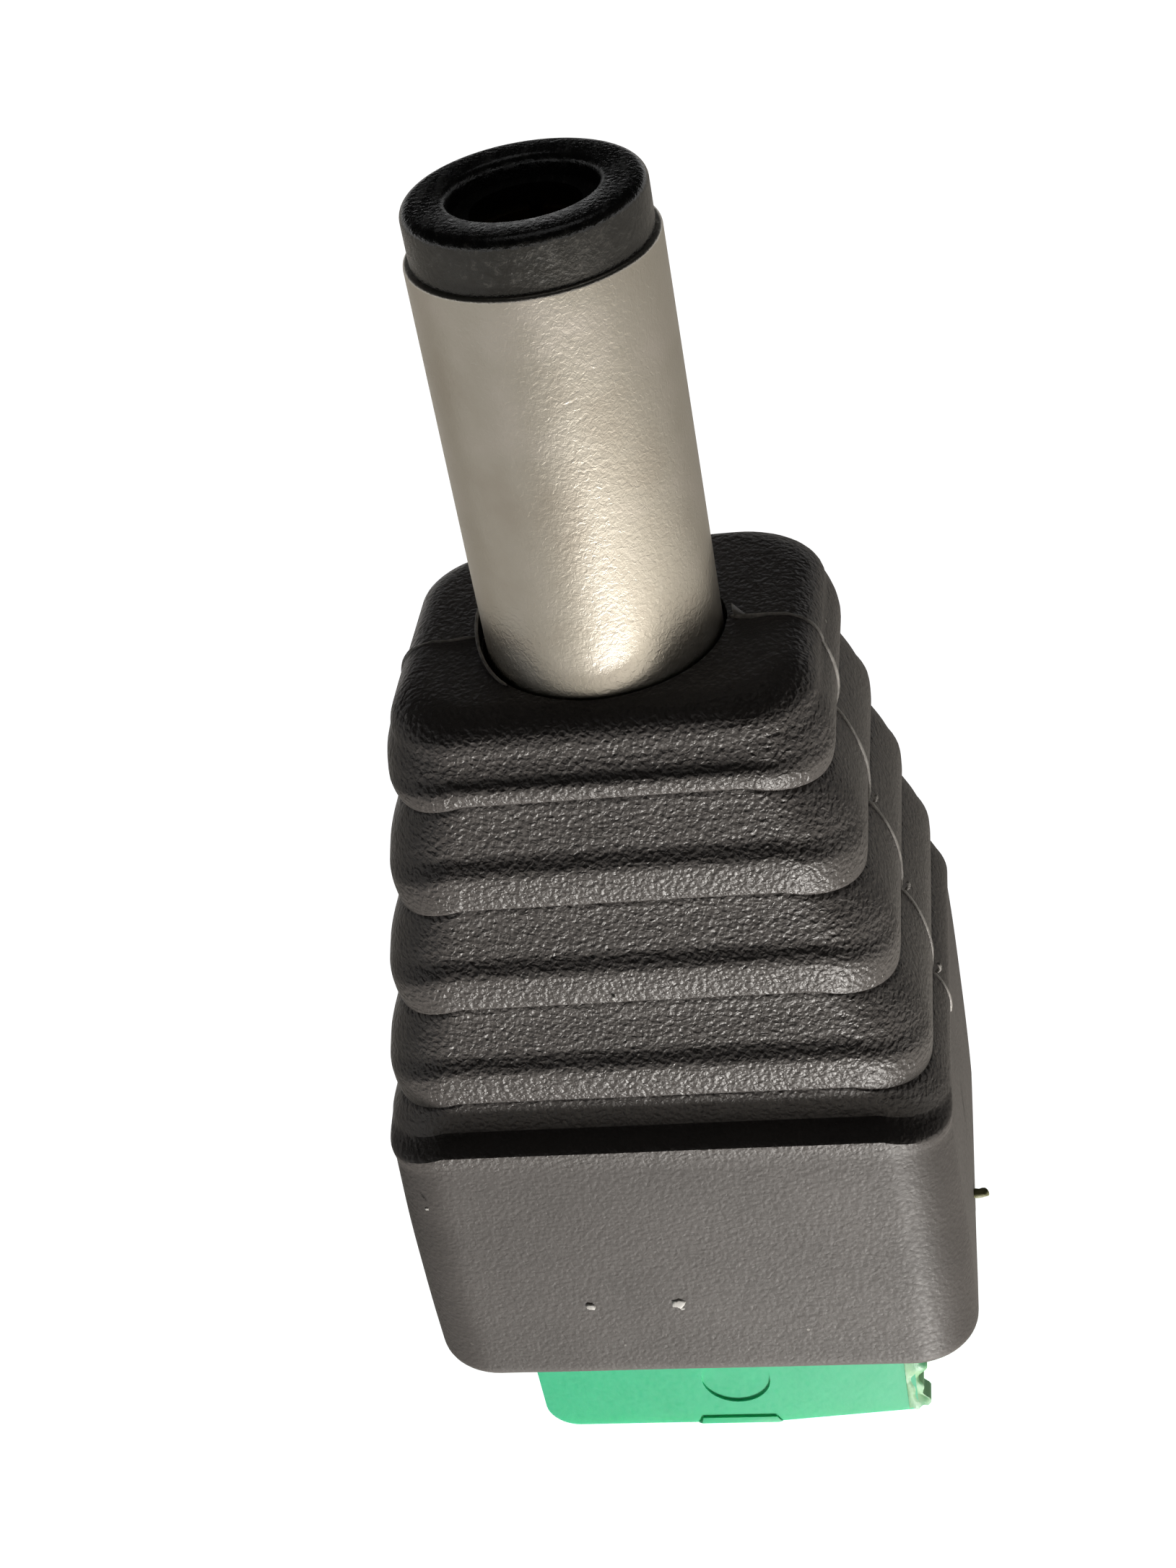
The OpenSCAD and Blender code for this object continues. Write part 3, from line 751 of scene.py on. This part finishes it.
# flash along the seam on the head: x, y, height over the face, radius
HEAD_SEAM_RIGHT = [
    (2.93, 0.12, -0.01, 0.09),
    (3.1, 0.05, 0, 0.075),
    (3.4, 0.0, 0.005, 0.08),
    (3.8, 0.05, 0, 0.05),
    (4.2, 0.03, -0.02, 0.06),
    (4.55, 0.0, -0.12, 0.05),
    (4.75, -0.01, -0.3, 0.045),
    (4.9, -0.01, -0.6, 0.03),
]
HEAD_SEAM_LEFT = [
    (-4.9, -0.01, -0.55, 0.03),
    (-4.72, -0.02, -0.28, 0.05),
    (-4.5, -0.03, -0.1, 0.05),
    (-4.1, 0.0, -0.01, 0.045),
    (-3.7, -0.02, 0, 0.04),
    (-3.3, 0.03, 0.01, 0.05),
    (-3.0, 0.05, 0, 0.07),
]


def head_seams():
    for side, line in (("right", HEAD_SEAM_RIGHT), ("left", HEAD_SEAM_LEFT)):
        pts = [(x, y, FACE + h) for x, y, h, r in line]
        # the flash lines on the head are pale partly as a painted highlight, since the lamps leave the
        # head's face dark
        dress(tube("seam_head_" + side, pts, [r for x, y, h, r in line]), "flash")


def flash_wedge():
    """A torn corner of flash where the right seam meets the barrel's hole."""
    low = [(2.9, 0.62, -0.02), (3.02, 0.02, -0.02), (3.42, -0.02, -0.02)]
    high = [(2.93, 0.6, 0.05), (3.0, 0.05, 0.22), (3.34, 0.0, 0.03)]
    faces = [(0, 2, 1), (3, 4, 5), (0, 1, 4, 3), (1, 2, 5, 4), (2, 0, 3, 5)]
    ob = add_object("flash_wedge", [(x, y, FACE + h) for x, y, h in low + high], faces)
    fix_normals(ob)
    bevel(ob, 0.015)
    shade(ob, 40)
    dress(ob, "flash")


def rim_fin():
    """The thin fin of flash that stands round the left of the barrel's hole."""
    verts, faces, edge = [], [], []
    n = 40
    start, end, tall = 142, 226, 0.62
    for i in range(n + 1):
        t = i / n
        a = lerp(start, end, t)
        h = tall * min(1.0, t / 0.12) * (1 - ease((t - 0.15) / 0.85)) + 0.03
        h *= 1 + 0.06 * math.sin(19 * t)
        lean, top = 0.05 * h, FACE + h
        foot = FACE - 0.3
        for r, z in ((2.875, foot), (2.96, foot), (2.945 + lean, top), (2.885 + lean, top)):
            verts.append((*polar(r, a), z))
        edge.append((*polar(2.915 + lean, a), top))
    for i in range(n):
        for k in range(4):
            l = (k + 1) % 4
            faces.append((i * 4 + k, i * 4 + l, (i + 1) * 4 + l, (i + 1) * 4 + k))
    faces.append((0, 1, 2, 3))
    faces.append((n * 4 + 3, n * 4 + 2, n * 4 + 1, n * 4))
    ob = add_object("rim_fin", verts, faces)
    fix_normals(ob)
    shade(ob, 40)
    dress(ob, "black_plastic")
    # the fin's top edge is drawn in the pale flash colour, partly a painted highlight along its thin
    # edge
    dress(tube("rim_fin_edge", edge, 0.04), "flash")


def curls():
    """Curls of flash where the right seam crosses the shelves, longest on the last."""
    for k, (lift, size) in enumerate(((0.05, 0.16), (0.05, 0.2), (0.08, 0.26))):
        c = crease(k + 1)
        x0, z0 = c[1] + 0.14, c[0] - c[5] + lift
        pts = []
        for i in range(9):
            t = math.radians(-30 + 200 * i / 8)
            x = x0 + size * 0.35 * math.sin(t)
            z = z0 + size * 0.5 * (1 - math.cos(t)) - 0.12
            pts.append((x, -0.02 + 0.05 * i / 8, z))
        dress(tube("curl_%d" % k, pts, 0.045), "flash")


def burr():
    """The burr at the right end of the seam, low on the case; its olive colour is painted light
    shining through it.
    """
    z = HEEL[0] + 0.65
    end = SHELL_HIGH[0]
    line = [
        (7.1, -0.13, z - 0.03, 0.15),
        (7.22, -0.13, z, 0.135),
        (7.34, -0.12, z - 0.02, 0.125),
        (7.44, -0.12, z + 0.01, 0.13),
        (end - 0.08, -0.13, z + 0.04, 0.125),
        (end - 0.05, -0.13, z + 0.1, 0.06),
    ]
    dress(tube("burr_skin", [p[:3] for p in line], [p[3] for p in line], 12), "burr")


def specks():
    """Chips of white plastic stuck to the plain face: x, y, z, size."""
    chips = [
        (-2.57, -5.26, 5.87, 0.12),
        (-0.27, -5.26, 5.91, 0.18),
        (-0.2, -5.25, 5.72, 0.06),
        (-0.52, -4.43, 15.67, 0.055),
        (-6.11, -5.3, 9.74, 0.05),
        (3.9, -5.2, 6.3, 0.05),
    ]
    for i, chip in enumerate(chips):
        dress(flake("speck_%d" % i, chip[:3], chip[3], i), "white_speck")


# ------------------------------------------------------------------ the green terminal block

def block_outline():
    """Seen from the front: only the lower left corner is rounded."""
    half = BLOCK_HALF
    arc = []
    for a in range(0, 91, 9):
        c, s = polar(1, a)
        arc.append((-half + BLOCK_ROUND * (1 - s), BLOCK_ROUND * (1 - c)))
    corners = [(half - 0.1, 0.0), (half, 0.1), (half, BLOCK_TOP), (-half, BLOCK_TOP)]
    return [(BLOCK_X + x, z) for x, z in corners + arc[::-1]]


def gate_swelling():
    """The low swelling in the middle of the bottom edge."""
    x, y = BLOCK_X, BLOCK_FRONT
    verts = [
        (x - 0.9, y - 0.02, 0.0), (x + 1.4, y - 0.02, 0.0),
        (x + 1.3, y - 0.07, 0.02), (x - 0.8, y - 0.07, 0.02),
        (x - 0.9, y + 0.4, 0.0), (x + 1.4, y + 0.4, 0.0),
        (x - 0.9, y + 0.4, 0.3), (x + 1.4, y + 0.4, 0.3),
        (x - 0.75, y - 0.05, 0.22), (x + 1.25, y - 0.05, 0.22),
    ]
    faces = [
        (0, 1, 2, 3), (0, 4, 5, 1), (4, 6, 7, 5), (3, 2, 9, 8), (8, 9, 7, 6),
        (0, 3, 8, 6, 4), (1, 5, 7, 9, 2)]
    ob = add_object("gate", verts, faces)
    fix_normals(ob)
    return ob


def clamp_cutters(x):
    """What one clamp needs free in the block, round its screw's axis at x."""
    axis = (x, SCREW_Z)
    return [
        box_mesh("pocket", (x - 2.05, -3.8, 4.45), (x + 2.05, 3.2, 8.75)),
        box_mesh("wire_entry", (x - 1.65, -3.55, -1), (x + 1.65, -1.0, 4.6)),
        box_mesh("bar_foot", (x - 0.95, -1.05, 3.55), (x + 0.95, -0.25, 4.6)),
        box_mesh("bar_slot", (x - 0.95, -1.05, 8.6), (x + 0.95, -0.25, 12)),
        cyl("thread_hole", 1.3, 3.1, 5.7, c=axis, axis="y"),
        cyl("head_well", 1.85, 3.7, 5.4, c=axis, axis="y"),
        cyl("keeper", 1.7, 5.3, 6.2, c=axis, axis="y"),
    ]


def terminal():
    front = BLOCK_FRONT
    ob = prism("terminal_body", block_outline(), front, BLOCK_REAR)
    half_lip = BLOCK_HALF + BLOCK_LIP
    low = (BLOCK_X - half_lip, front + 0.001, BLOCK_TOP - LIP_H)
    high = (BLOCK_X + half_lip, BLOCK_REAR - 0.001, BLOCK_TOP - 0.001)
    boolean(ob, [box_mesh("lip", low, high), gate_swelling()], "UNION")
    boolean(ob, [c for x in SCREW_X for c in clamp_cutters(x)])
    bevel(ob, 0.05, 40)
    mark = cyl("round_mark", 0.92, front - 1, front + 0.06, c=(BLOCK_X + 0.32, 1.74), axis="y")
    boolean(ob, [mark])
    # the front's bottom edge steps up to the right, and its left edge leans in
    step_x, lean_x = BLOCK_X + 1.4, BLOCK_X - 4.2
    for v in ob.data.vertices:
        x, y, z = (c / MM for c in v.co)
        if y < -3.9 and z < 1.6 and x > step_x:
            rise = lerp(0.1, 0.38, min(1, (x - step_x) / 3.7)) * min(1.0, (x - step_x) / 0.15)
            v.co.z += rise * (1 - z / 1.6) * MM
        if y < -3.9 and z < 2.9 and x < lean_x:
            v.co.x += 0.12 * (1 - z / 2.9) * MM
    shade(ob, 38)
    dress(ob, "green_plastic")
    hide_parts("terminal_block")


def torn_end():
    """The pale lime flash torn off the block's right end, a wavy sheet of some thickness."""
    nx, nz = 14, 26
    thick = 0.22
    verts, faces = [], []
    for back in (0, 1):
        for i in range(nx + 1):
            for j in range(nz + 1):
                u, w = i / nx, j / nz
                edge = 5.56 + 0.10 * math.sin(9 * w + 1) + 0.07 * math.sin(23 * w) + 0.12 * w
                z = lerp(0.42 + 0.05 * math.sin(11 * u), BASE + 0.03, w)
                wave = 0.02 * math.sin(17 * w) * u - 0.03 * math.sin(5 * u + 7 * w) * u
                y = BLOCK_FRONT - 0.035 + wave + (0.45 if back else 0.12) * u * u + back * thick
                verts.append((lerp(5.15, edge, u), y, z))

    def idx(back, i, j):
        return (back * (nx + 1) + i) * (nz + 1) + j

    for i in range(nx):
        for j in range(nz):
            faces.append((idx(0, i, j), idx(0, i + 1, j), idx(0, i + 1, j + 1), idx(0, i, j + 1)))
            faces.append((idx(1, i, j), idx(1, i, j + 1), idx(1, i + 1, j + 1), idx(1, i + 1, j)))
    for i in range(nx):
        faces.append((idx(0, i, 0), idx(1, i, 0), idx(1, i + 1, 0), idx(0, i + 1, 0)))
        faces.append((idx(0, i, nz), idx(0, i + 1, nz), idx(1, i + 1, nz), idx(1, i, nz)))
    for j in range(nz):
        faces.append((idx(0, 0, j), idx(0, 0, j + 1), idx(1, 0, j + 1), idx(1, 0, j)))
        faces.append((idx(0, nx, j), idx(1, nx, j), idx(1, nx, j + 1), idx(0, nx, j + 1)))
    ob = add_object("torn_end", verts, faces)
    fix_normals(ob)
    shade(ob, 50)
    dress(ob, "lime_flash")


def block_edge():
    """The pale line where the green meets the black, and three dark nicks in it."""
    y, z = BLOCK_FRONT - 0.012, BASE - 0.015
    pts = [(BLOCK_X - 4.75 + 9.6 * i / 30, y - 0.008 * math.sin(i * 1.3), z) for i in range(31)]
    dress(tube("pale_rim", pts, 0.03), "pale_rim")
    for i, (start, end) in enumerate(((-3.15, -2.6), (3.35, 3.95), (4.3, 4.7))):
        pts = []
        for t in (0, 0.2, 0.4, 0.6, 0.8, 1):
            sag = 0.05 * math.sin(math.pi * t) * (1 + 0.4 * math.sin(9 * t))
            pts.append((lerp(start, end, t), BLOCK_FRONT - 0.03, BASE - 0.02 - sag))
        dress(tube("nick_%d" % i, pts, 0.05), "seam_dark")


# ------------------------------------------------------------------ clamp screws

def clamp_screw(side, x):
    """A slotted cheese head screw with rings for its thread."""
    core_r, crest_r, head_r, pitch = 1.1, 1.25, 1.8, 0.45
    low, top = SCREW_LOW_Y, SCREW_TOP_Y
    prof = [(0, low), (0.9, low), (1.0, low + 0.1)]
    y = low + 0.25
    while y < top - 1.4 - 0.3:
        prof += [(core_r, y), (crest_r, y + 0.17), (crest_r, y + 0.23), (core_r, y + 0.4)]
        y += pitch
    prof += [(core_r, top - 1.42), (1.74, top - 1.4), (head_r, top - 1.32), (head_r, top - 0.16)]
    prof += [(1.74, top - 0.06), (1.6, top - 0.01), (0, top)]
    ob = lathe("screw_" + side, prof, n=96, closed=False, centre=(x, SCREW_Z), axis="y", smooth=30)
    slot = box_mesh("slot", (x - 3, top - 0.7, SCREW_Z - 0.3), (x + 3, top + 1, SCREW_Z + 0.3))
    boolean(ob, [slot])
    bevel(ob, 0.04, 45)
    shade(ob, 30)
    dress(ob, "zinc", "screw_" + side)
    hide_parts("clamp_screw_" + side)


dress_cad_nodes()
housing()
sleeve()
tip_lining()
side_seams()
head_seams()
flash_wedge()
rim_fin()
curls()
burr()
specks()
terminal()
torn_end()
block_edge()
for side, x in zip(SIDES, SCREW_X):
    clamp_screw(side, x)

# ------------------------------------------------------------------ camera

FRAME_HEIGHT = 2172
FOCAL = 3382.8  # in the frame's pixels
EYE = (9.4402, -46.8513, 53.299)
TURN = (0.640522, 0.151614, -0.121856)  # from a level camera looking to +Y, as a rotation vector


def camera():
    turn = Vector(TURN)
    rot = np.array(Matrix.Rotation(turn.length, 3, turn))
    level = np.array([[1, 0, 0], [0, 0, -1], [0, 1, 0]], float)
    forward = level.T @ (rot.T @ np.array([0, 0, 1.0]))
    up = level.T @ (rot.T @ np.array([0, -1.0, 0]))
    right = np.cross(forward, up)
    m = Matrix.Identity(4)
    for i in range(3):
        m[i][0], m[i][1], m[i][2] = right[i], up[i], -forward[i]
        m[i][3] = EYE[i] * MM
    cam = bpy.data.cameras.new("camera")
    cam.sensor_fit = "VERTICAL"
    cam.sensor_height = 36.0
    cam.sensor_width = 27.0
    cam.lens = FOCAL / FRAME_HEIGHT * cam.sensor_height
    cam.clip_start = 0.002
    cam.clip_end = 5.0
    ob = bpy.data.objects.new("camera", cam)
    ob.matrix_world = m
    bpy.context.scene.collection.objects.link(ob)
    bpy.context.scene.camera = ob


# ------------------------------------------------------------------ stage and light

class Shader:
    """Shader nodes of the floor or the world."""

    def __init__(self, tree):
        self.t = tree
        self.t.nodes.clear()
        self.path = self.t.nodes.new("ShaderNodeLightPath")

    def new(self, kind, **inputs):
        nd = self.t.nodes.new(kind)
        for name, v in inputs.items():
            nd.inputs[name].default_value = v
        return nd

    def mix(self, fac, a, b):
        nd = self.new("ShaderNodeMixShader")
        for socket, v in zip(nd.inputs, (fac, a, b)):
            self.t.links.new(v, socket)
        return nd.outputs[0]

    def fade(self, value, near, far, at_near, at_far):
        nd = self.new("ShaderNodeMapRange")
        nd.interpolation_type = "SMOOTHSTEP"
        for i, v in zip((1, 2, 3, 4), (near, far, at_near, at_far)):
            nd.inputs[i].default_value = v
        self.t.links.new(value, nd.inputs[0])
        return nd.outputs[0]

    def mirrored(self):
        """1 for a ray that a glossy or a clear surface sends out."""
        nd = self.new("ShaderNodeMath")
        nd.operation = "MAXIMUM"
        self.t.links.new(self.path.outputs["Is Glossy Ray"], nd.inputs[0])
        self.t.links.new(self.path.outputs["Is Transmission Ray"], nd.inputs[1])
        return nd.outputs[0]


# metres: where the painted pool of light lies that shiny surfaces see in the floor, and its radius
PAINTED_POOL, PAINTED_POOL_R = (0.027, -0.030, 0), 0.062


def floor():
    """White to the camera; shiny surfaces see a warm painted pool of light in it, which paints their
    highlight.

    It casts no shadow, so that the lamps that stand lower than the plug reach it.
    """
    s, z = 0.9, -0.00002
    ob = add_object("floor", [(-s, -s, z), (s, -s, z), (s, s, z), (-s, s, z)], [(0, 1, 2, 3)], scale=1)
    m = bpy.data.materials.new("floor")
    m.use_nodes = True
    n = Shader(m.node_tree)
    link = n.t.links.new
    white = n.new("ShaderNodeAddShader")
    link(n.new("ShaderNodeBsdfDiffuse", Color=(0.8, 0.8, 0.8, 1)).outputs[0], white.inputs[0])
    link(n.new("ShaderNodeEmission", Strength=1.1).outputs[0], white.inputs[1])
    plain = n.new("ShaderNodeBsdfDiffuse", Color=(0.5, 0.49, 0.47, 1))
    # painted pool of light: emission that only glossy and clear rays see, brightest at its centre, a
    # painted reflection source for the barrel's highlight
    painted_pool = n.new("ShaderNodeEmission", Color=(1.0, 0.93, 0.82, 1))
    away = n.new("ShaderNodeVectorMath")
    away.operation = "DISTANCE"
    away.inputs[1].default_value = PAINTED_POOL
    link(n.new("ShaderNodeTexCoord").outputs["Object"], away.inputs[0])
    link(n.fade(away.outputs["Value"], 0.0, PAINTED_POOL_R, 1.25, 0.30), painted_pool.inputs["Strength"])
    seen = n.mix(n.mirrored(), plain.outputs[0], painted_pool.outputs[0])
    out = n.mix(n.path.outputs["Is Camera Ray"], seen, white.outputs[0])
    link(out, n.new("ShaderNodeOutputMaterial").inputs[0])
    ob.data.materials.append(m)
    ob.visible_shadow = False


def world():
    """White to the camera, dim to plain surfaces, and to shiny ones bright near the horizon only."""
    w = bpy.data.worlds.new("world")
    bpy.context.scene.world = w
    w.use_nodes = True
    n = Shader(w.node_tree)
    link = n.t.links.new
    sep = n.new("ShaderNodeSeparateXYZ")
    link(n.new("ShaderNodeTexCoord").outputs["Generated"], sep.inputs[0])
    ambient = n.new("ShaderNodeBackground", Color=(1.0, 0.98, 0.95, 1), Strength=0.02)
    glow = n.new("ShaderNodeBackground")
    link(n.fade(sep.outputs[2], 0.02, 0.22, 1.0, 0.008), glow.inputs["Strength"])
    white = n.new("ShaderNodeBackground", Color=(1, 1, 1, 1))
    lit = n.mix(n.mirrored(), ambient.outputs[0], glow.outputs[0])
    out = n.mix(n.path.outputs["Is Camera Ray"], lit, white.outputs[0])
    link(out, n.new("ShaderNodeOutputWorld").inputs[0])


LAMP_DISTANCE_M = 0.5


def lamp(name, az, el, size, level, color=(1, 1, 1)):
    """A disc lamp, az degrees to the right of -Y and el degrees up, aimed at the plug's middle.

    Its light on a surface square to it is level times that which shows a colour as written.
    """
    target = Vector((0, 0, 0.016))
    across, rise = polar(1, el)
    side, front = across * math.sin(math.radians(az)), across * math.cos(math.radians(az))
    d = Vector((side, -front, rise))
    light = bpy.data.lights.new(name, "AREA")
    light.shape = "DISK"
    light.size = size
    light.energy = level * math.pi ** 2 * LAMP_DISTANCE_M * LAMP_DISTANCE_M
    light.color = color
    ob = bpy.data.objects.new(name, light)
    ob.location = target + d * LAMP_DISTANCE_M
    ob.rotation_euler = d.to_track_quat("Z", "Y").to_euler()
    bpy.context.scene.collection.objects.link(ob)


camera()
floor()
world()
lamp("key", 20, -57, 0.10, 1.12, (1.0, 0.97, 0.93))
lamp("fill", -60, -20, 0.30, 0.10, (0.95, 0.97, 1.0))
lamp("side", 75, -35, 0.30, 0.32, (1.0, 0.97, 0.92))
lamp("back", 205, -25, 0.30, 0.8, (1.0, 0.98, 0.96))
lamp("top", 170, 75, 0.30, 0.02)
bpy.context.scene.view_settings.view_transform = "Standard"
